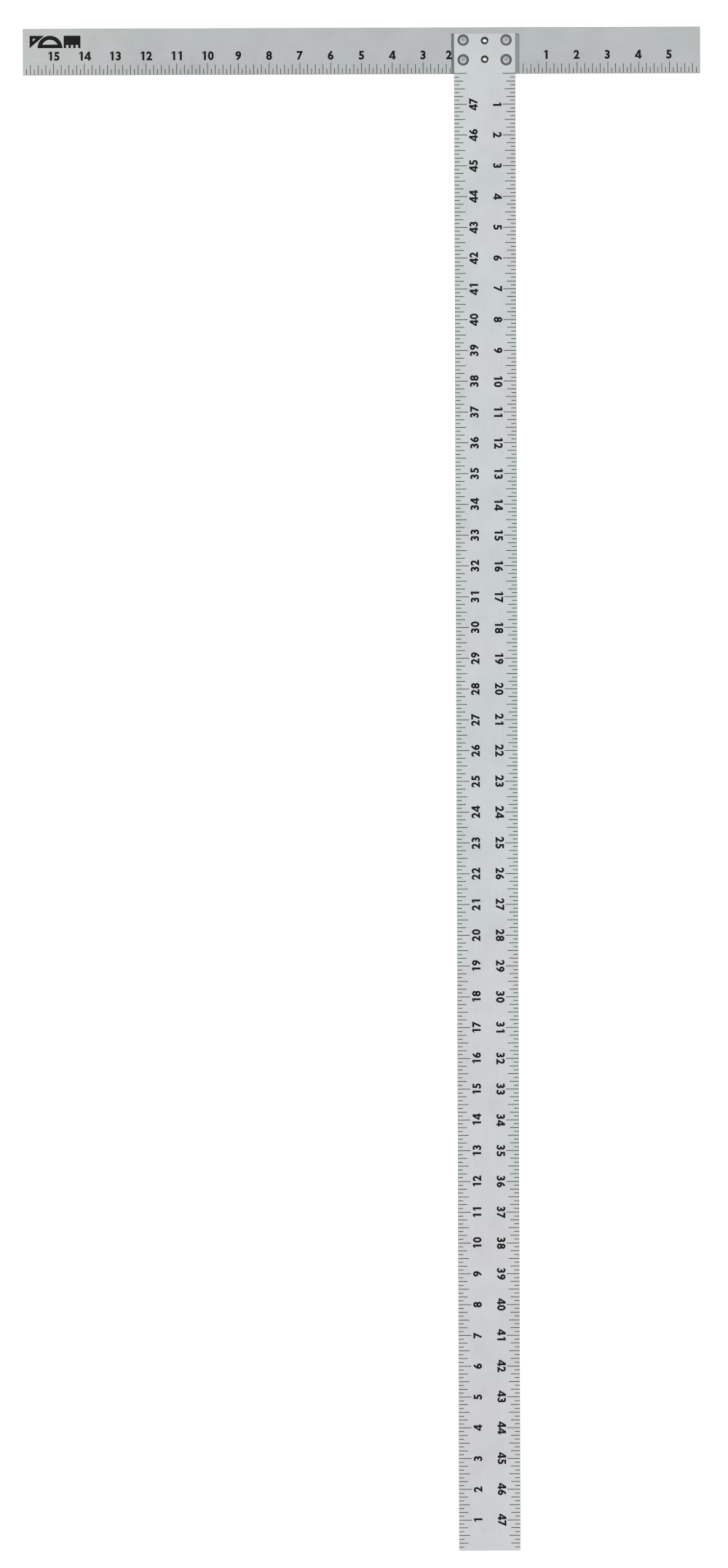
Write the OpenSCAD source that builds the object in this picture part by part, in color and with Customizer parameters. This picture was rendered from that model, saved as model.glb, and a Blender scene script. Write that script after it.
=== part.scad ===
// Drywall T-square. The head is a slotted aluminium extrusion with a channel section, and the blade
// is a flat aluminium bar let into its face. Four blind rivets clamp the two together, and two
// coiled spring pins keep them square.
// Sizes are in millimetres, and +Z is up, towards the graduated face. The origin is the point where
// the blade's centreline crosses the fence, at the level that the head stands on. The fence is the
// head's face towards the blade (y = 0), and the blade runs along -Y.

/* [Head] */
// Length of the head from the blade's centreline to its left end
head_left = 381; // [200:0.1:600]
// Length of the head from the blade's centreline to its right end
head_right = 177.8; // [80:0.1:600]
// Width of the head, from the fence to its back edge
head_w = 38.1; // [36:0.1:60]
// Height of the head
head_h = 12.7; // [11.5:0.05:20]
// Thickness of the head's top plate
plate_t = 6.35; // [5:0.05:6.5]
// Thickness of the head's two flanges
flange_t = 4; // [2:0.1:7]
// Radius along the head's outer edges
head_edge_r = 0.25; // [0.1:0.05:0.25]
// Fillet inside the channel, where a flange meets the top plate
channel_r = 1; // [0.3:0.1:2]

/* [Slot for the blade] */
// Gap between the slot's left wall and the blade
slot_gap_left = 2.1; // [1:0.1:6]
// Gap between the slot's right wall and the blade
slot_gap_right = 3.2; // [1:0.1:6]
// Width of the wall that closes the slot behind the blade's end
slot_end_wall = 5.2; // [3:0.1:8]
// Radius that the cutter leaves in the slot's two corners
slot_corner_r = 1; // [0.5:0.1:1]
// Clearance between the blade's end and that wall
blade_end_clear = 0.05; // [0:0.05:0.5]

/* [Blade] */
// Length of the blade beyond the fence
blade_reach = 1219.2; // [300:0.1:1500]
// Width of the blade
blade_w = 50.8; // [48:0.1:80]
// Thickness of the blade
blade_t = 3.175; // [2:0.025:4]
// Height of the blade's face above the head's face
blade_proud = 0; // [0:0.05:1]
// Radius along the blade's long edges
blade_edge_r = 0.25; // [0.1:0.05:0.5]
// Radius of the blade's two corners at its tip, seen from above
blade_corner_r = 0.8; // [0.3:0.1:5]

/* [Blind rivets] */
// Distance from the fence to the middle of the rivets and of the spring pins
joint_y = 19.4; // [17:0.1:21]
// Distance between the rivets, across the blade
rivet_pitch_x = 35.4; // [32:0.1:38]
// Distance between the rivets, along the blade
rivet_pitch_y = 16.3; // [15:0.1:18]
// Diameter of the shank
rivet_d = 4.8; // [4:0.1:5]
// Radial clearance of the shank in its hole
rivet_clear = 0.05; // [0:0.01:0.1]
// Diameter of the domed head
rivet_head_d = 9.5; // [8:0.1:11]
// Height of the dome above its rim
rivet_dome_h = 1.2; // [0.6:0.1:1.8]
// Height of the head's straight rim
rivet_rim_h = 0.35; // [0.2:0.05:0.6]
// Diameter of the bulge on the blind side
rivet_bulge_d = 6.8; // [6:0.1:8]
// Height of the bulge on the blind side
rivet_bulge_h = 2.5; // [1.6:0.1:2.8]
// Rounding of the bulge's two edges
rivet_bulge_r = 0.7; // [0.3:0.1:0.8]
// Length of the sleeve that is left beyond the bulge
rivet_sleeve_l = 1; // [0.5:0.1:1.2]

/* [Rivet mandrels] */
// Diameter of the mandrel
mandrel_d = 2.7; // [2:0.1:3]
// Radial clearance of the mandrel in the rivet
mandrel_clear = 0.02; // [0:0.01:0.1]
// Depth of the mandrel's broken end below the top of the dome
mandrel_sunk = 0.45; // [0.2:0.05:1]
// Height of the raised tip in the middle of the broken end
mandrel_tip_h = 0.25; // [0.1:0.05:0.5]
// Diameter of the mandrel's round head
mandrel_head_d = 4.2; // [3.6:0.1:4.6]
// Height of the mandrel's round head
mandrel_head_h = 1.1; // [0.6:0.1:1.2]

/* [Spring pins] */
// Distance between the two pins, along the blade
pin_pitch_y = 15.4; // [12:0.1:18]
// Outer diameter of a pin
pin_d = 6.35; // [5:0.05:8]
// Radial clearance of a pin in its hole
pin_clear = 0.02; // [0:0.01:0.05]
// Thickness of the steel strip that a pin is rolled from
pin_strip_t = 0.55; // [0.3:0.05:0.6]
// Gap between the turns of the strip
pin_turn_gap = 0.05; // [0.05:0.01:0.15]
// Number of turns in a pin
pin_turns = 3; // [2:1:3]
// How far the tapered outer end of the strip reaches past the pin's axis, over the inward step
pin_tip_reach = 0.45; // [0:0.05:0.6]
// Chamfer at the ends of a pin
pin_chamfer = 0.35; // [0.1:0.05:0.6]

/* [Hidden] */
// Direction of the end of a pin's inward step: whole tenths keep the arcs' centres exact
pin_step_direction = [0.8, 0.6];

$fn = 96;
cut = 1;  // how far a cutting shape runs past what it cuts

blade_top = head_h + blade_proud;
blade_bottom = blade_top - blade_t;  // also the floor of the slot
plate_bottom = head_h - plate_t;
slot_end_y = head_w - slot_end_wall;
blade_end_y = slot_end_y - blade_end_clear;

// A place across the blade and along it, each -1 or 1, for every rivet, and the same for the pins.
rivet_seats = [
    ["fence_left", -1, -1], ["fence_right", 1, -1], ["back_left", -1, 1], ["back_right", 1, 1]
];
pin_seats = [["fence", 0, -1], ["back", 0, 1]];

module at_rivet(seat)
    translate([seat[1] * rivet_pitch_x / 2, joint_y + seat[2] * rivet_pitch_y / 2, 0])
        children();

module at_pin(seat)
    translate([0, joint_y + seat[2] * pin_pitch_y / 2, 0])
        children();

// A rectangle from one corner to the other, with its corners rounded by true arcs.
module rounded_box(from, to, r) {
    translate([from[0] + r, from[1]]) square([to[0] - from[0] - 2 * r, to[1] - from[1]]);
    translate([from[0], from[1] + r]) square([to[0] - from[0], to[1] - from[1] - 2 * r]);
    for (x = [from[0] + r, to[0] - r], y = [from[1] + r, to[1] - r])
        translate([x, y]) circle(r = r);
}

// The holes for the rivets and pins, through the blade and the head's top plate.
module joint_holes() {
    for (seat = rivet_seats)
        at_rivet(seat)
            translate([0, 0, plate_bottom - cut])
                cylinder(d = rivet_d + 2 * rivet_clear, h = plate_t + blade_proud + 2 * cut);
    for (seat = pin_seats)
        at_pin(seat)
            translate([0, 0, plate_bottom - cut])
                cylinder(d = pin_d + 2 * pin_clear, h = plate_t + blade_proud + 2 * cut);
}

// The head's section, in Y and Z: a channel that opens downwards.
module head_section()
    difference() {
        rounded_box([0, 0], [head_w, head_h], head_edge_r);
        rounded_box([flange_t, -2 * channel_r], [head_w - flange_t, plate_bottom], channel_r);
    }

// The recess that takes the blade, open at the fence and closed at the back.
module slot_cut() {
    left = -blade_w / 2 - slot_gap_left;
    right = blade_w / 2 + slot_gap_right;
    translate([0, 0, blade_bottom])
        linear_extrude(head_h - blade_bottom + cut)
            rounded_box([left, -slot_end_y], [right, slot_end_y], slot_corner_r);
}

module head()
    color([0.73, 0.74, 0.74])
        difference() {
            translate([-head_left, 0, 0])
                rotate([90, 0, 90]) linear_extrude(head_left + head_right) head_section();
            slot_cut();
            joint_holes();
        }

module blade()
    color([0.80, 0.81, 0.81])
        difference() {
            intersection() {
                translate([0, blade_end_y, 0])
                    rotate([90, 0, 0])
                        linear_extrude(blade_end_y + blade_reach)
                            rounded_box([-blade_w / 2, blade_bottom], [blade_w / 2, blade_top],
                                        blade_edge_r);
                translate([0, 0, blade_bottom - cut])
                    linear_extrude(blade_t + 2 * cut) blade_outline();
            }
            joint_holes();
        }

// The blade from above: square where it butts the slot's wall, and rounded at the tip's corners.
module blade_outline() {
    square_from = -blade_reach + blade_corner_r;
    rounded_box([-blade_w / 2, -blade_reach], [blade_w / 2, 0], blade_corner_r);
    translate([-blade_w / 2, square_from]) square([blade_w, blade_end_y - square_from]);
}

// A set rivet: a dome on the blade, a shank, and on the blind side the bulge and the sleeve's end.
module rivet_body() {
    dome_r = (pow(rivet_head_d / 2, 2) + pow(rivet_dome_h, 2)) / (2 * rivet_dome_h);
    rim_top = blade_top + rivet_rim_h;
    sleeve_bottom = plate_bottom - rivet_bulge_h - rivet_sleeve_l;
    color([0.70, 0.71, 0.71])
        difference() {
            union() {
                translate([0, 0, blade_top]) cylinder(d = rivet_head_d, h = rivet_rim_h);
                intersection() {
                    translate([0, 0, rim_top + rivet_dome_h - dome_r]) sphere(r = dome_r);
                    translate([0, 0, rim_top]) cylinder(d = rivet_head_d, h = rivet_dome_h + cut);
                }
                translate([0, 0, sleeve_bottom])
                    cylinder(d = rivet_d, h = blade_top - sleeve_bottom);
                translate([0, 0, plate_bottom - rivet_bulge_h])
                    rotate_extrude()
                        intersection() {
                            rounded_box([-rivet_bulge_d / 2, 0], [rivet_bulge_d / 2, rivet_bulge_h],
                                        rivet_bulge_r);
                            square([rivet_bulge_d, rivet_bulge_h]);
                        }
            }
            translate([0, 0, sleeve_bottom - cut])
                cylinder(d = mandrel_d + 2 * mandrel_clear, h = head_h + rivet_dome_h + 2 * cut);
        }
}

// What is left of the mandrel in a set rivet: its broken shank, and the round head that upset the
// sleeve and now closes it.
module mandrel() {
    sleeve_bottom = plate_bottom - rivet_bulge_h - rivet_sleeve_l;
    broken_z = blade_top + rivet_rim_h + rivet_dome_h - mandrel_sunk;
    ball_r = (pow(mandrel_head_d / 2, 2) + pow(mandrel_head_h, 2)) / (2 * mandrel_head_h);
    color([0.62, 0.62, 0.63]) {
        translate([0, 0, sleeve_bottom - mandrel_head_h / 4])
            cylinder(d = mandrel_d, h = broken_z - sleeve_bottom + mandrel_head_h / 4);
        translate([0, 0, broken_z]) cylinder(d1 = mandrel_d, d2 = mandrel_d / 3, h = mandrel_tip_h);
        intersection() {
            translate([0, 0, sleeve_bottom - mandrel_head_h + ball_r]) sphere(r = ball_r);
            translate([0, 0, sleeve_bottom - mandrel_head_h])
                cylinder(d = mandrel_head_d, h = mandrel_head_h);
        }
    }
}

// Part of a ring of the pin's strip, from above: what of it lies inside a polygon on its centre.
module strip_arc(centre, r, polygon_points) {
    translate(centre)
        intersection() {
            strip_ring(r);
            polygon(polygon_points);
        }
}

module strip_ring(r) {
    difference() {
        circle(r = r + pin_strip_t / 2);
        circle(r = r - pin_strip_t / 2);
    }
}

// The strip of a coiled pin, from above. Each turn lies on a circle about the pin's axis for most
// of its length. Within the angle between the directions [0.8, -0.6] and [0.8, 0.6] it steps
// inwards by the pitch of the turns, in two arcs that are tangent to each other and to the turns,
// so that the strip passes under its own outer end. The first arc is tighter than the turn, and
// the second is wider. The outer end is tapered to lie on the second arc, so that the pin is
// nearly round in its hole.
module pin_spiral() {
    along = pin_step_direction;
    pitch = pin_strip_t + pin_turn_gap;
    tight = pitch / 2 / (1 - along.x);
    wide = 2 * tight * along.x;
    tight_centre = tight * [along.x, -along.y];
    wide_centre = tight_centre - [wide, 0];
    outer_r = (pin_d - pin_strip_t) / 2;
    reach = 2 * pin_d;
    difference() {
        intersection() {
            strip_ring(outer_r);
            polygon([[0, 0], [0, -pin_tip_reach], [reach, -pin_tip_reach],
                [reach, reach * along.y / along.x]]);
        }
        translate(wide_centre) circle(r = outer_r - tight + wide + pin_strip_t / 2 + pin_turn_gap);
    }
    for (i = [0 : pin_turns - 1]) {
        r = outer_r - i * pitch;
        difference() {
            strip_ring(r);
            polygon(reach * [[0, 0], [along.x, -along.y], along]);
        }
        if (i < pin_turns - 1) {
            strip_arc(tight_centre, r - tight,
                reach * [[0, 0], [along.x, -along.y], [1, -along.y], [1, 0]]);
            strip_arc(wide_centre, r - tight + wide,
                reach * [[0, 0], [1, 0], [1, along.y], along]);
        }
    }
}

module spring_pin() {
    pin_l = plate_t + blade_proud;
    end_d = pin_d - 2 * pin_chamfer;
    color([0.30, 0.31, 0.32])
        translate([0, 0, plate_bottom])
            intersection() {
                linear_extrude(pin_l) pin_spiral();
                // two cones, base to base, take the chamfer off both ends
                union() {
                    cylinder(d1 = end_d, d2 = end_d + pin_l, h = pin_l / 2);
                    translate([0, 0, pin_l / 2])
                        cylinder(d1 = end_d + pin_l, d2 = end_d, h = pin_l / 2);
                }
            }
}

head();
blade();
for (seat = rivet_seats) {
    at_rivet(seat) rivet_body();
    at_rivet(seat) mandrel();
}
for (seat = pin_seats)
    at_pin(seat) spring_pin();
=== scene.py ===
# A drywall T-square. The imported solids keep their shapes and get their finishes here, and the
# printed scales are added as thin layers of ink. Lengths are metres, in the frame of the solids.
import math

import bpy
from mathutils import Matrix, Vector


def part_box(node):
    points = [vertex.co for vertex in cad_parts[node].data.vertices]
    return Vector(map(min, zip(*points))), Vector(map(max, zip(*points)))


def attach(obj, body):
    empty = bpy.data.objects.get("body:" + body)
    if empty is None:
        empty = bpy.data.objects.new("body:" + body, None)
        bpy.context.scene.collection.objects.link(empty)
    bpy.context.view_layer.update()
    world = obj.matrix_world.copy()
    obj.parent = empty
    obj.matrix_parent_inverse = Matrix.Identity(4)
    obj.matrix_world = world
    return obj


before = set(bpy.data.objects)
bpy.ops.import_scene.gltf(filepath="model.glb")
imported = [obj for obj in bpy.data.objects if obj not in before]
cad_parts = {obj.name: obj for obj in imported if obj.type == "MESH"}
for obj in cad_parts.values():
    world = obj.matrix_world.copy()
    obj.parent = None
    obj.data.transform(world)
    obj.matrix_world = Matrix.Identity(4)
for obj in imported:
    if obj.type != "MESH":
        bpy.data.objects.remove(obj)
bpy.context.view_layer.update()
bpy.ops.object.select_all(action="DESELECT")

# --- Camera -------------------------------------------------------------------------------------
# A long lens high above the square, looking straight down on its graduated face, with the head at
# the top of the picture. The square lies a fifth of a degree askew under it.
head_low, head_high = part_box("head")
blade_low, blade_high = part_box("blade")
face_z = blade_high.z
middle_x = (head_low.x + head_high.x) / 2
middle_y = (blade_low.y + head_high.y) / 2

camera_height = 12
picture_height = 1.2939  # what the picture takes in, at the level of the face
picture_rise = 0.0045  # how far the picture's middle is nearer the head than the square's middle
camera_roll = math.radians(-0.2)

bpy.ops.object.camera_add(
    location=(middle_x, middle_y + picture_rise, face_z + camera_height),
    rotation=(0, 0, camera_roll),
)
camera = bpy.context.object
camera.name = "camera"
camera.data.lens = camera.data.sensor_width * camera_height / picture_height
bpy.context.scene.camera = camera
bpy.context.scene.view_settings.view_transform = "Standard"

# --- Light table --------------------------------------------------------------------------------
# The white surface that the square lies on. It glows evenly, so there is hardly any shadow. It is
# clear from underneath, and its glow in the metal is weaker, so that the sides and the underside
# stand out from it.
table_size = 60
table_glow_seen = 0.82
table_glow_cast = 0.36

bpy.ops.mesh.primitive_plane_add(size=table_size, location=(middle_x, middle_y, 0))
table = bpy.context.object
table.name = "light_table"

table_finish = bpy.data.materials.new("light_table")
table_finish.use_nodes = True
new = table_finish.node_tree.nodes.new
link = table_finish.node_tree.links.new
surface = table_finish.node_tree.nodes["Principled BSDF"]
surface.inputs["Base Color"].default_value = (0.86, 0.86, 0.86, 1)
surface.inputs["Roughness"].default_value = 0.9
surface.inputs["Emission Color"].default_value = (1, 1, 1, 1)
seen = new("ShaderNodeLightPath")
glow = new("ShaderNodeMapRange")
glow.inputs["To Min"].default_value = table_glow_cast
glow.inputs["To Max"].default_value = table_glow_seen
clear = new("ShaderNodeBsdfTransparent")
side = new("ShaderNodeNewGeometry")
mix = new("ShaderNodeMixShader")
link(seen.outputs["Is Camera Ray"], glow.inputs["Value"])
link(glow.outputs["Result"], surface.inputs["Emission Strength"])
link(side.outputs["Backfacing"], mix.inputs["Fac"])
link(surface.outputs["BSDF"], mix.inputs[1])
link(clear.outputs["BSDF"], mix.inputs[2])
link(mix.outputs["Shader"], table_finish.node_tree.nodes["Material Output"].inputs["Surface"])
table.data.materials.append(table_finish)

# --- Studio light -------------------------------------------------------------------------------
# One wide round softbox overhead, pale walls low down all round, and dark between the two, so that
# flat metal is bright and anything domed gets a dark rim.
softbox_across = 23
softbox_height = 20
softbox_y = -0.1
softbox_radiance = 0.98
softbox_power = softbox_radiance * math.pi * math.pi * (softbox_across / 2) ** 2

bpy.ops.object.light_add(type="AREA", location=(middle_x, softbox_y, softbox_height))
softbox = bpy.context.object
softbox.name = "softbox"
softbox.data.shape = "DISK"
softbox.data.size = softbox_across
softbox.data.energy = softbox_power
softbox.visible_camera = False

world = bpy.data.worlds.new("studio")
bpy.context.scene.world = world
world.use_nodes = True
new = world.node_tree.nodes.new
link = world.node_tree.links.new
way = new("ShaderNodeTexCoord")
height = new("ShaderNodeSeparateXYZ")
walls = new("ShaderNodeValToRGB")
walls.color_ramp.elements[0].position = 0.30
walls.color_ramp.elements[0].color = (0.85, 0.85, 0.86, 1)
walls.color_ramp.elements[1].position = 0.48
walls.color_ramp.elements[1].color = (0.16, 0.16, 0.165, 1)
seen = new("ShaderNodeLightPath")
white = new("ShaderNodeMixRGB")
white.inputs["Color2"].default_value = (1, 1, 1, 1)
link(way.outputs["Generated"], height.inputs["Vector"])
link(height.outputs["Z"], walls.inputs["Fac"])
link(seen.outputs["Is Camera Ray"], white.inputs["Fac"])
link(walls.outputs["Color"], white.inputs["Color1"])
link(white.outputs["Color"], world.node_tree.nodes["Background"].inputs["Color"])

# --- Blade --------------------------------------------------------------------------------------
# A flat bar of drawn aluminium, let into the head and riveted there. It is satin, with the fine
# lines of drawing along its length, faint clouding, and stray scratches from use.


def make_drawn_grain():
    """The look of drawn metal: fine lines, clouding and scratches, as masks and a normal."""
    group = bpy.data.node_groups.new("drawn_grain", "ShaderNodeTree")
    sockets = group.interface
    sockets.new_socket("Along", in_out="INPUT", socket_type="NodeSocketVector")
    sockets.new_socket("Place", in_out="INPUT", socket_type="NodeSocketVector")
    sockets.new_socket("Depth", in_out="INPUT", socket_type="NodeSocketFloat")
    sockets.new_socket("Tone", in_out="OUTPUT", socket_type="NodeSocketFloat")
    sockets.new_socket("Tint", in_out="OUTPUT", socket_type="NodeSocketColor")
    sockets.new_socket("Cloud", in_out="OUTPUT", socket_type="NodeSocketFloat")
    sockets.new_socket("Scratch", in_out="OUTPUT", socket_type="NodeSocketFloat")
    sockets.new_socket("Normal", in_out="OUTPUT", socket_type="NodeSocketVector")
    new = group.nodes.new
    link = group.links.new
    given = new("NodeGroupInput")
    result = new("NodeGroupOutput")

    lines = new("ShaderNodeTexNoise")
    lines.inputs["Scale"].default_value = 1900
    lines.inputs["Detail"].default_value = 4
    lines.inputs["Roughness"].default_value = 0.7
    link(given.outputs["Along"], lines.inputs["Vector"])

    cloud = new("ShaderNodeTexNoise")
    cloud.inputs["Scale"].default_value = 38
    cloud.inputs["Detail"].default_value = 5
    cloud.inputs["Roughness"].default_value = 0.62
    link(given.outputs["Place"], cloud.inputs["Vector"])
    link(cloud.outputs["Fac"], result.inputs["Cloud"])

    drift = new("ShaderNodeTexNoise")
    drift.inputs["Scale"].default_value = 14
    drift.inputs["Detail"].default_value = 2
    tint = new("ShaderNodeValToRGB")
    tint.color_ramp.elements[0].position = 0.35
    tint.color_ramp.elements[0].color = (0.975, 1, 0.99, 1)
    tint.color_ramp.elements[1].position = 0.65
    tint.color_ramp.elements[1].color = (1, 0.99, 1, 1)
    link(given.outputs["Place"], drift.inputs["Vector"])
    link(drift.outputs["Fac"], tint.inputs["Fac"])
    link(tint.outputs["Color"], result.inputs["Tint"])

    tone = new("ShaderNodeMix")
    tone.inputs["Factor"].default_value = 0.5
    link(cloud.outputs["Fac"], tone.inputs["A"])
    link(lines.outputs["Fac"], tone.inputs["B"])
    link(tone.outputs["Result"], result.inputs["Tone"])

    # scratches are the sharp peaks of a noise that is drawn out along a slant
    slant = new("ShaderNodeMapping")
    slant.inputs["Rotation"].default_value = (0, 0, math.radians(27))
    slant.inputs["Scale"].default_value = (1, 0.018, 1)
    hair = new("ShaderNodeTexNoise")
    hair.inputs["Scale"].default_value = 2600
    hair.inputs["Detail"].default_value = 1
    peak = new("ShaderNodeMapRange")
    peak.inputs["From Min"].default_value = 0.70
    peak.inputs["From Max"].default_value = 0.76
    here = new("ShaderNodeMapRange")
    here.inputs["From Min"].default_value = 0.50
    here.inputs["From Max"].default_value = 0.62
    scratch = new("ShaderNodeMath")
    scratch.operation = "MULTIPLY"
    link(given.outputs["Place"], slant.inputs["Vector"])
    link(slant.outputs["Vector"], hair.inputs["Vector"])
    link(hair.outputs["Fac"], peak.inputs["Value"])
    link(cloud.outputs["Fac"], here.inputs["Value"])
    link(peak.outputs["Result"], scratch.inputs[0])
    link(here.outputs["Result"], scratch.inputs[1])
    link(scratch.outputs["Value"], result.inputs["Scratch"])

    relief = new("ShaderNodeMath")
    relief.operation = "SUBTRACT"
    bump = new("ShaderNodeBump")
    bump.inputs["Strength"].default_value = 0.35
    link(lines.outputs["Fac"], relief.inputs[0])
    link(scratch.outputs["Value"], relief.inputs[1])
    link(given.outputs["Depth"], bump.inputs["Distance"])
    link(relief.outputs["Value"], bump.inputs["Height"])
    link(bump.outputs["Normal"], result.inputs["Normal"])
    return group


drawn_grain = make_drawn_grain()


def make_metal(name, dark, light, rough, stretch, depth):
    """Satin metal between two tones and two roughnesses, its grain drawn out by the stretch."""
    finish = bpy.data.materials.new(name)
    finish.use_nodes = True
    new = finish.node_tree.nodes.new
    link = finish.node_tree.links.new
    surface = finish.node_tree.nodes["Principled BSDF"]
    surface.inputs["Metallic"].default_value = 1

    place = new("ShaderNodeTexCoord")
    along = new("ShaderNodeMapping")
    along.inputs["Scale"].default_value = stretch
    grain = new("ShaderNodeGroup")
    grain.node_tree = drawn_grain
    grain.inputs["Depth"].default_value = depth
    link(place.outputs["Object"], along.inputs["Vector"])
    link(along.outputs["Vector"], grain.inputs["Along"])
    link(place.outputs["Object"], grain.inputs["Place"])

    colour = new("ShaderNodeValToRGB")
    colour.color_ramp.elements[0].position = 0.30
    colour.color_ramp.elements[0].color = dark
    colour.color_ramp.elements[1].position = 0.70
    colour.color_ramp.elements[1].color = light
    tinted = new("ShaderNodeMixRGB")
    tinted.blend_type = "MULTIPLY"
    tinted.inputs["Fac"].default_value = 1
    bare = new("ShaderNodeMixRGB")
    bare.name = "bare"
    bare.inputs["Color2"].default_value = (0.86, 0.87, 0.87, 1)
    gloss = new("ShaderNodeMapRange")
    gloss.inputs["From Min"].default_value = 0.3
    gloss.inputs["From Max"].default_value = 0.7
    gloss.inputs["To Min"].default_value = rough[0]
    gloss.inputs["To Max"].default_value = rough[1]
    link(grain.outputs["Tone"], colour.inputs["Fac"])
    link(grain.outputs["Scratch"], bare.inputs["Fac"])
    link(colour.outputs["Color"], tinted.inputs["Color1"])
    link(grain.outputs["Tint"], tinted.inputs["Color2"])
    link(tinted.outputs["Color"], bare.inputs["Color1"])
    link(bare.outputs["Color"], surface.inputs["Base Color"])
    link(grain.outputs["Cloud"], gloss.inputs["Value"])
    link(gloss.outputs["Result"], surface.inputs["Roughness"])
    link(grain.outputs["Normal"], surface.inputs["Normal"])
    return finish


def give_finish(name, finish):
    """Puts a finish in every material slot of a solid."""
    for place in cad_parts[name].material_slots:
        place.material = finish


blade_finish = make_metal(
    "blade_alloy",
    dark=(0.60, 0.63, 0.63, 1),
    light=(0.705, 0.735, 0.735, 1),
    rough=(0.34, 0.44),
    stretch=(1, 0.012, 1),
    depth=0.00002,
)
give_finish("blade", blade_finish)

# towards its tip the blade is a little warmer
warm_from = -0.65
warm_to = -0.95
warm_tone = (1.03, 0.995, 1.01, 1)
new = blade_finish.node_tree.nodes.new
link = blade_finish.node_tree.links.new
surface = blade_finish.node_tree.nodes["Principled BSDF"]
place = new("ShaderNodeTexCoord")
axes = new("ShaderNodeSeparateXYZ")
reach = new("ShaderNodeMapRange")
reach.inputs["From Min"].default_value = warm_from
reach.inputs["From Max"].default_value = warm_to
warm = new("ShaderNodeMixRGB")
warm.blend_type = "MULTIPLY"
warm.inputs["Color2"].default_value = warm_tone
link(place.outputs["Object"], axes.inputs["Vector"])
link(axes.outputs["Y"], reach.inputs["Value"])
link(reach.outputs["Result"], warm.inputs["Fac"])
link(blade_finish.node_tree.nodes["bare"].outputs["Color"], warm.inputs["Color1"])
link(warm.outputs["Color"], surface.inputs["Base Color"])

# --- Head ---------------------------------------------------------------------------------------
# An extruded aluminium channel, greyer than the blade, with its grain along its own length. The
# slot for the blade is milled across its face, and shade is painted on its floor and walls, darker
# in the narrow left gap than in the right one. The left end is a little lighter.
pocket_low = (-0.0290, -1, 0.0090)  # the two ends of a box that takes in the slot's inner faces
pocket_high = (0.0300, 0.0335, 0.0122)
# painted shade for the slot's floor and walls, darker in the narrow left gap than in the right
painted_slot_shade_left = (0.44, 0.46, 0.46, 1)
painted_slot_shade_right = (0.66, 0.68, 0.68, 1)
# the head's colour is made a little lighter towards its left end
end_lighter_from = -0.28
end_lighter_to = -0.385
end_lighter_tone = (1.12, 1.11, 1.09, 1)

head_finish = make_metal(
    "head_alloy",
    dark=(0.495, 0.515, 0.515, 1),
    light=(0.59, 0.61, 0.61, 1),
    rough=(0.36, 0.46),
    stretch=(0.012, 1, 1),
    depth=0.00002,
)
give_finish("head", head_finish)

new = head_finish.node_tree.nodes.new
link = head_finish.node_tree.links.new
surface = head_finish.node_tree.nodes["Principled BSDF"]
place = new("ShaderNodeTexCoord")
# a mask of the slot's inner faces, where the colour is multiplied by the painted shade, darker left
# of the middle
above = new("ShaderNodeVectorMath")
above.operation = "SUBTRACT"
above.inputs[1].default_value = pocket_low
below = new("ShaderNodeVectorMath")
below.operation = "SUBTRACT"
below.inputs[0].default_value = pocket_high
nearest = new("ShaderNodeVectorMath")
nearest.operation = "MINIMUM"
axes = new("ShaderNodeSeparateXYZ")
across = new("ShaderNodeMath")
across.operation = "MINIMUM"
inside = new("ShaderNodeMath")
inside.operation = "MINIMUM"
painted_shade_mask = new("ShaderNodeMath")
painted_shade_mask.operation = "GREATER_THAN"
painted_shade_mask.inputs[1].default_value = 0
whole = new("ShaderNodeSeparateXYZ")
right = new("ShaderNodeMath")
right.operation = "GREATER_THAN"
right.inputs[1].default_value = 0
which = new("ShaderNodeMixRGB")
which.inputs["Color1"].default_value = painted_slot_shade_left
which.inputs["Color2"].default_value = painted_slot_shade_right
end = new("ShaderNodeMapRange")
end.inputs["From Min"].default_value = end_lighter_from
end.inputs["From Max"].default_value = end_lighter_to
end_lighter = new("ShaderNodeMixRGB")
end_lighter.blend_type = "MULTIPLY"
end_lighter.inputs["Color2"].default_value = end_lighter_tone
shade = new("ShaderNodeMixRGB")
shade.blend_type = "MULTIPLY"
link(place.outputs["Object"], above.inputs[0])
link(place.outputs["Object"], below.inputs[1])
link(above.outputs["Vector"], nearest.inputs[0])
link(below.outputs["Vector"], nearest.inputs[1])
link(nearest.outputs["Vector"], axes.inputs["Vector"])
link(axes.outputs["X"], across.inputs[0])
link(axes.outputs["Y"], across.inputs[1])
link(across.outputs["Value"], inside.inputs[0])
link(axes.outputs["Z"], inside.inputs[1])
link(inside.outputs["Value"], painted_shade_mask.inputs[0])
link(place.outputs["Object"], whole.inputs["Vector"])
link(whole.outputs["X"], right.inputs[0])
link(right.outputs["Value"], which.inputs["Fac"])
link(which.outputs["Color"], shade.inputs["Color2"])
link(painted_shade_mask.outputs["Value"], shade.inputs["Fac"])
link(whole.outputs["X"], end.inputs["Value"])
link(end.outputs["Result"], end_lighter.inputs["Fac"])
link(head_finish.node_tree.nodes["bare"].outputs["Color"], end_lighter.inputs["Color1"])
link(end_lighter.outputs["Color"], shade.inputs["Color1"])
link(shade.outputs["Color"], surface.inputs["Base Color"])

# --- Blind rivets -------------------------------------------------------------------------------
# Four set blind rivets. The body is soft aluminium, upset on the blind side, and the broken end of
# its plated steel mandrel shows in the middle of the dome.
corners = ("fence_left", "fence_right", "back_left", "back_right")

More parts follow.
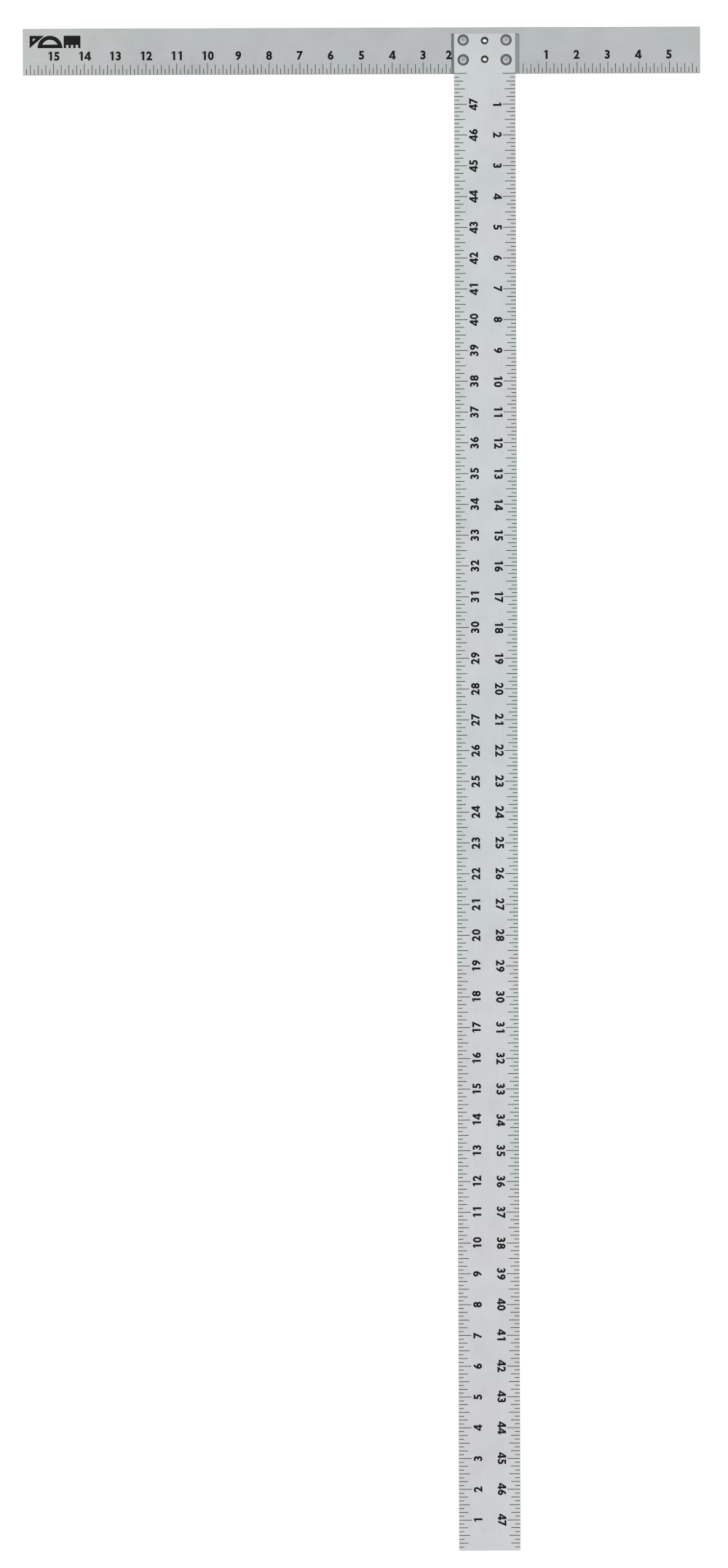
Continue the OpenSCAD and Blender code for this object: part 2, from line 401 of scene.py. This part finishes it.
rivet_finish = make_metal(
    "rivet_alloy",
    dark=(0.53, 0.54, 0.54, 1),
    light=(0.66, 0.67, 0.67, 1),
    rough=(0.20, 0.31),
    stretch=(1, 1, 1),
    depth=0.00003,
)
mandrel_finish = make_metal(
    "mandrel_steel",
    dark=(0.46, 0.46, 0.47, 1),
    light=(0.66, 0.66, 0.66, 1),
    rough=(0.30, 0.50),
    stretch=(1, 1, 1),
    depth=0.00006,
)
for corner in corners:
    give_finish("rivet_" + corner, rivet_finish)
    give_finish("mandrel_" + corner, mandrel_finish)

# --- Spring pins --------------------------------------------------------------------------------
# Two coiled pins of blackened spring steel, pressed in flush on the blade's centreline, which keep
# the blade square to the fence.
pin_finish = make_metal(
    "pin_steel",
    dark=(0.05, 0.05, 0.052, 1),
    light=(0.11, 0.11, 0.112, 1),
    rough=(0.35, 0.5),
    stretch=(1, 1, 1),
    depth=0.00003,
)
give_finish("pin_fence", pin_finish)
give_finish("pin_back", pin_finish)

# --- Blade marks --------------------------------------------------------------------------------
# Eighth-inch marks in black ink, printed inwards from both long edges of the blade. They run from
# the fence to the last eighth before the tip, with an inch mark on the fence line itself.
inch = 0.0254
blade_mark_line = 0.00058
ink_sink = 0.00001  # how far the ink reaches below the metal's face, so that no light gets under
ink_film = 0.00005  # from there to its own top
blade_edge = 0.00025  # the blade's rounded edge, where the ink stops
blade_mark_length = {"inch": 0.0107, "half": 0.0091, "quarter": 0.0077, "eighth": 0.0044}
eighths = ("inch", "eighth", "quarter", "eighth", "half", "eighth", "quarter", "eighth")

ink_finish = bpy.data.materials.new("scale_ink")
ink_finish.use_nodes = True
new = ink_finish.node_tree.nodes.new
link = ink_finish.node_tree.links.new
surface = ink_finish.node_tree.nodes["Principled BSDF"]
surface.inputs["Specular IOR Level"].default_value = 0.2
place = new("ShaderNodeTexCoord")
speck = new("ShaderNodeTexNoise")
speck.inputs["Scale"].default_value = 2600
speck.inputs["Detail"].default_value = 3
black = new("ShaderNodeValToRGB")
black.color_ramp.elements[0].position = 0.45
black.color_ramp.elements[0].color = (0.010, 0.010, 0.011, 1)
black.color_ramp.elements[1].position = 0.75
black.color_ramp.elements[1].color = (0.035, 0.035, 0.037, 1)
dull = new("ShaderNodeMapRange")
dull.inputs["To Min"].default_value = 0.45
dull.inputs["To Max"].default_value = 0.75
link(place.outputs["Object"], speck.inputs["Vector"])
link(speck.outputs["Fac"], black.inputs["Fac"])
link(black.outputs["Color"], surface.inputs["Base Color"])
link(speck.outputs["Fac"], dull.inputs["Value"])
link(dull.outputs["Result"], surface.inputs["Roughness"])


def pick(*pieces):
    """Selects these pieces and no others, with the first one active."""
    bpy.ops.object.select_all(action="DESELECT")
    for piece in pieces:
        piece.select_set(True)
    bpy.context.view_layer.objects.active = pieces[0]


def thicken():
    """In edit mode, raises the flat shape that is there to the thickness of the ink."""
    bpy.ops.mesh.select_all(action="SELECT")
    bpy.ops.mesh.extrude_region_move(TRANSFORM_OT_translate={"value": (0, 0, ink_film)})
    bpy.ops.mesh.select_all(action="SELECT")
    bpy.ops.mesh.normals_make_consistent(inside=False)


def place_piece(piece, at, turn):
    """Turns a piece and moves it, and then settles its place in its mesh."""
    pick(piece)
    piece.rotation_euler = (0, 0, turn)
    piece.location = at
    bpy.ops.object.transform_apply(location=True, rotation=True, scale=True)


def print_ink(piece, name):
    """Gives a layer of ink its name and finish, and lets it ride on the square."""
    piece.name = name
    piece.data.materials.clear()
    piece.data.materials.append(ink_finish)
    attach(piece, "root")


def row_of_marks(inches, length, line, edge, *stretches):
    """Marks along +X that rise along +Y from an edge on the X axis: one inch of them, repeated,
    and then only those that stand within one of the stretches of X."""
    bpy.ops.object.select_all(action="DESELECT")
    bpy.ops.mesh.primitive_plane_add(size=1)
    row = bpy.context.object
    bpy.ops.object.mode_set(mode="EDIT")
    for i, kind in enumerate(eighths):
        if i > 0:
            bpy.ops.mesh.primitive_plane_add(size=1)
        tall = length[kind] - edge
        bpy.ops.transform.resize(value=(line, tall, 1))
        bpy.ops.transform.translate(value=(i * inch / 8, edge + tall / 2, 0))
    thicken()
    bpy.ops.object.mode_set(mode="OBJECT")
    repeat = row.modifiers.new("inches", "ARRAY")
    repeat.use_relative_offset = False
    repeat.use_constant_offset = True
    repeat.constant_offset_displace = (inch, 0, 0)
    repeat.count = inches
    bpy.ops.object.modifier_apply(modifier=repeat.name)

    bpy.ops.object.mode_set(mode="EDIT")
    bpy.ops.mesh.select_all(action="DESELECT")
    bpy.ops.object.mode_set(mode="OBJECT")
    for corner in row.data.vertices:
        corner.select = not any(low < corner.co.x < high for low, high in stretches)
    bpy.ops.object.mode_set(mode="EDIT")
    bpy.ops.mesh.delete(type="VERT")
    bpy.ops.object.mode_set(mode="OBJECT")
    return row


ink_z = face_z - ink_sink
blade_inches = round(-blade_low.y / inch)
half_eighth = inch / 16

left_marks = row_of_marks(
    blade_inches, blade_mark_length, blade_mark_line, blade_edge,
    (-half_eighth, blade_inches * inch),
)
place_piece(left_marks, (blade_low.x, 0, ink_z), math.radians(-90))
print_ink(left_marks, "blade_marks_left")

right_marks = row_of_marks(
    blade_inches + 1, blade_mark_length, blade_mark_line, blade_edge,
    (half_eighth, blade_inches * inch + half_eighth),
)
place_piece(right_marks, (blade_high.x, blade_low.y, ink_z), math.radians(90))
print_ink(right_marks, "blade_marks_right")

# --- Blade numbers ------------------------------------------------------------------------------
# Bold upright figures in the same ink, one number at each inch mark, with their tops towards the
# nearer edge. The right edge counts from the fence, and the left edge counts from the tip.
figure_bold = 0.040  # how far an outline is thickened, for a type size of 1
figure_height = 0.771  # how tall a figure stands then
figure_steps = 3  # coarse enough that the thickened outlines don't cross themselves
stem = 0.245  # the width of the stems of the 1 and the 4, which are drawn here, at a height of 1
blade_figure_height = 0.0071
blade_figure_pitch = 0.0053
blade_left_base = 0.0194  # from the left edge to the feet of the figures
blade_right_base = 0.0187


def make_figure(character):
    """A figure of height 1, its feet on the X axis and its middle on the Y axis."""
    bpy.ops.object.select_all(action="DESELECT")
    bpy.ops.object.text_add()
    figure = bpy.context.object
    figure.data.body = character
    figure.data.offset = figure_bold
    figure.data.resolution_u = figure_steps
    bpy.ops.object.convert(target="MESH")
    bpy.ops.object.mode_set(mode="EDIT")
    bpy.ops.mesh.select_all(action="SELECT")
    bpy.ops.mesh.remove_doubles(threshold=0.003)
    thicken()
    bpy.ops.object.mode_set(mode="OBJECT")
    across = [corner.co.x for corner in figure.data.vertices]
    centre = (min(across) + max(across)) / 2
    figure.scale = (1 / figure_height, 1 / figure_height, 1)
    place_piece(figure, (-centre / figure_height, figure_bold / figure_height, 0), 0)
    return figure


def make_stem(left, *cuts):
    """In edit mode, an upright stroke of height 1, cut through at some heights."""
    bpy.ops.object.select_all(action="DESELECT")
    bpy.ops.mesh.primitive_plane_add(size=1)
    bpy.ops.object.mode_set(mode="EDIT")
    bpy.ops.transform.resize(value=(stem, 1, 1))
    bpy.ops.transform.translate(value=(left + stem / 2, 0.5, 0))
    for cut in cuts:
        bpy.ops.mesh.select_all(action="SELECT")
        bpy.ops.mesh.bisect(plane_co=(0, cut, 0), plane_no=(0, 1, 0))
    return bpy.context.object


def pick_within(figure, low, high):
    """In edit mode, selects what lies within a box of the plane."""
    bpy.ops.mesh.select_all(action="DESELECT")
    bpy.ops.object.mode_set(mode="OBJECT")
    slack = 0.0001
    for corner in figure.data.vertices:
        within_x = low[0] - slack < corner.co.x < high[0] + slack
        within_y = low[1] - slack < corner.co.y < high[1] + slack
        corner.select = within_x and within_y
    bpy.ops.object.mode_set(mode="EDIT")


def draw_out(figure, low, high, way):
    """In edit mode, draws the edge that lies within a box out into a stroke."""
    pick_within(figure, low, high)
    bpy.ops.mesh.extrude_region_move(TRANSFORM_OT_translate={"value": (way[0], way[1], 0)})


def make_one():
    """The figure 1, a plain stem with a short slanting flag and no foot."""
    left = -0.03
    flag = 0.82
    flag_reach = (-0.17, -0.16)
    figure = make_stem(left, flag)
    draw_out(figure, (left, flag), (left, 1), flag_reach)
    thicken()
    bpy.ops.object.mode_set(mode="OBJECT")
    return figure


def make_four():
    """The figure 4, a stem crossed by a bar, and a slanting stroke from its top to the bar's end."""
    left = 0.04
    bar = (0.17, 0.35)
    bar_left = -0.36
    bar_right = 0.12  # how far the bar runs past the stem
    slope_start = 0.64
    slope_foot = -0.12
    figure = make_stem(left, *bar, slope_start)
    draw_out(figure, (left, bar[0]), (left, bar[1]), (bar_left - left, 0))
    draw_out(figure, (left + stem, bar[0]), (left + stem, bar[1]), (bar_right, 0))
    bpy.ops.mesh.select_all(action="SELECT")
    bpy.ops.mesh.bisect(plane_co=(slope_foot, 0, 0), plane_no=(1, 0, 0))
    draw_out(figure, (left, slope_start), (left, 1), (slope_foot - left, bar[1] - slope_start))
    top = bar[1] + 1 - slope_start
    pick_within(figure, (slope_foot, top), (slope_foot, top))
    bpy.ops.transform.translate(value=(bar_left - slope_foot, bar[1] - top, 0))
    bpy.ops.mesh.select_all(action="SELECT")
    bpy.ops.mesh.remove_doubles(threshold=0.0005)
    thicken()
    bpy.ops.object.mode_set(mode="OBJECT")
    return figure


figures = {character: make_figure(character) for character in "02356789"}
figures["1"] = make_one()
figures["4"] = make_four()


def print_numbers(name, height, pitch, turn, places):
    """Numbers set in copies of the figures, each number given with the middle of its feet."""
    across = (math.cos(turn), math.sin(turn))
    copies = []
    for number, x, y in places:
        characters = str(number)
        for i, character in enumerate(characters):
            step = (i - (len(characters) - 1) / 2) * pitch
            pick(figures[character])
            bpy.ops.object.duplicate()
            copy = bpy.context.object
            copy.scale = (height, height, 1)
            place_piece(copy, (x + step * across[0], y + step * across[1], ink_z), turn)
            copies.append(copy)
    pick(*copies)
    bpy.ops.object.join()
    print_ink(bpy.context.object, name)


print_numbers(
    "blade_numbers_left", blade_figure_height, blade_figure_pitch, math.radians(90),
    [(blade_inches - k, blade_low.x + blade_left_base, -k * inch) for k in range(1, blade_inches)],
)
print_numbers(
    "blade_numbers_right", blade_figure_height, blade_figure_pitch, math.radians(-90),
    [(k, blade_high.x - blade_right_base, -k * inch) for k in range(1, blade_inches)],
)

# --- Head scales --------------------------------------------------------------------------------
# The same ink on the head, rising from the fence edge. Both arms count from the blade's right
# edge, and nothing is printed in the slot, so the first number on the left stands against its wall.
head_mark_length = {"inch": 0.0093, "half": 0.0080, "quarter": 0.0080, "eighth": 0.0046}
head_mark_line = 0.00051
head_edge = 0.00025
head_figure_height = 0.0074
head_figure_pitch = 0.0055
head_figure_base = 0.0117  # from the fence to the feet of the figures
head_figure_drift = -0.0004  # how far the right arm's numbers stand beside their marks
first_number_x = -0.0295  # the middle of the first number on the left

left_inches = round((blade_high.x - head_low.x) / inch)
right_inches = round((head_high.x - blade_high.x) / inch)
slot_left_inches = 2.0  # the slot takes this much of the scale to the left of the blade's edge
slot_right_inches = 0.1875  # and this much to its right

head_marks = row_of_marks(
    left_inches + right_inches, head_mark_length, head_mark_line, head_edge,
    (half_eighth, (left_inches - slot_left_inches) * inch - half_eighth),
    ((left_inches + slot_right_inches) * inch, (left_inches + right_inches) * inch - half_eighth),
)
place_piece(head_marks, (head_low.x, 0, ink_z), 0)
print_ink(head_marks, "head_marks")

numbers = [(2, first_number_x, head_figure_base)]
for k in range(3, left_inches):
    numbers.append((k, blade_high.x - k * inch, head_figure_base))
for k in range(1, right_inches):
    numbers.append((k, blade_high.x + k * inch + head_figure_drift, head_figure_base))
print_numbers("head_numbers", head_figure_height, head_figure_pitch, 0, numbers)

pick(*figures.values())
bpy.ops.object.delete()

# --- Maker's print ------------------------------------------------------------------------------
# A bold print at the head's left end, in the same ink: a set square, a protractor and a piece of
# rule, as plain signs that stand for no maker.
print_left = 0.0057  # from the head's left end
print_base = 0.0220  # from the fence
print_height = 0.0103
print_width = 0.042
print_gap = 0.0010
square_width = 0.0120
square_band = 0.0026
protractor_band = 0.0034
protractor_base = 0.0030
protractor_sides = 64
notches = 3
rule_rows = 4


def finish_sign(sign, x, y):
    """Leaves edit mode with the sign thickened, and puts it in its place on the print."""
    thicken()
    bpy.ops.object.mode_set(mode="OBJECT")
    place_piece(sign, (head_low.x + print_left + x, print_base + y, ink_z), 0)


# the set square hangs from its long side, so that the protractor fits in beside its slope
bpy.ops.object.select_all(action="DESELECT")
bpy.ops.mesh.primitive_plane_add(size=1)
set_square = bpy.context.object
bpy.ops.object.mode_set(mode="EDIT")
bpy.ops.transform.resize(value=(square_width, print_height, 1))
bpy.ops.mesh.bisect(
    plane_co=(0, 0, 0), plane_no=(print_height, -square_width, 0), clear_outer=True
)
bpy.ops.mesh.select_all(action="SELECT")
bpy.ops.mesh.inset(thickness=square_band)
bpy.ops.mesh.delete(type="FACE")
finish_sign(set_square, square_width / 2, print_height / 2)

# the protractor is a disc with a ring marked in it, cut in half, and only its window is taken out
window_radius = print_height - protractor_band
bpy.ops.object.select_all(action="DESELECT")
bpy.ops.mesh.primitive_circle_add(
    vertices=protractor_sides, radius=print_height, fill_type="NGON"
)
protractor = bpy.context.object
bpy.ops.object.mode_set(mode="EDIT")
bpy.ops.mesh.select_all(action="SELECT")
bpy.ops.mesh.inset(thickness=protractor_band)
bpy.ops.mesh.select_all(action="SELECT")
bpy.ops.mesh.bisect(plane_co=(0, 0, 0), plane_no=(0, -1, 0), clear_outer=True)
bpy.ops.mesh.select_all(action="SELECT")
bpy.ops.mesh.bisect(plane_co=(0, protractor_base, 0), plane_no=(0, -1, 0))
bpy.ops.mesh.select_all(action="DESELECT")
bpy.ops.mesh.select_mode(type="FACE")
bpy.ops.object.mode_set(mode="OBJECT")
for face in protractor.data.polygons:
    reach = math.hypot(face.center.x, face.center.y)
    face.select = reach < window_radius and face.center.y > protractor_base
bpy.ops.object.mode_set(mode="EDIT")
bpy.ops.mesh.delete(type="FACE")
bpy.ops.mesh.select_mode(type="VERT")
bpy.ops.mesh.select_all(action="SELECT")
protractor_x = math.hypot(square_width, print_height) + print_gap
finish_sign(protractor, protractor_x, 0)

# the rule is a grid, with a notch in every other column of the lowest row
columns = 2 * notches + 1
rule_width = print_width - protractor_x - print_height - print_gap
bpy.ops.object.select_all(action="DESELECT")
bpy.ops.mesh.primitive_grid_add(x_subdivisions=columns, y_subdivisions=rule_rows, size=1)
rule = bpy.context.object
bpy.ops.object.mode_set(mode="EDIT")
bpy.ops.mesh.select_all(action="DESELECT")
bpy.ops.mesh.select_mode(type="FACE")
bpy.ops.object.mode_set(mode="OBJECT")
for face in rule.data.polygons:
    column = math.floor((face.center.x + 0.5) * columns)
    row = math.floor((face.center.y + 0.5) * rule_rows)
    face.select = row == 0 and column % 2 == 1
bpy.ops.object.mode_set(mode="EDIT")
bpy.ops.mesh.delete(type="FACE")
bpy.ops.mesh.select_mode(type="VERT")
bpy.ops.mesh.select_all(action="SELECT")
bpy.ops.transform.resize(value=(rule_width, print_height, 1))
finish_sign(rule, print_width - rule_width / 2, print_height / 2)

pick(set_square, protractor, rule)
bpy.ops.object.join()
print_ink(set_square, "maker_print")
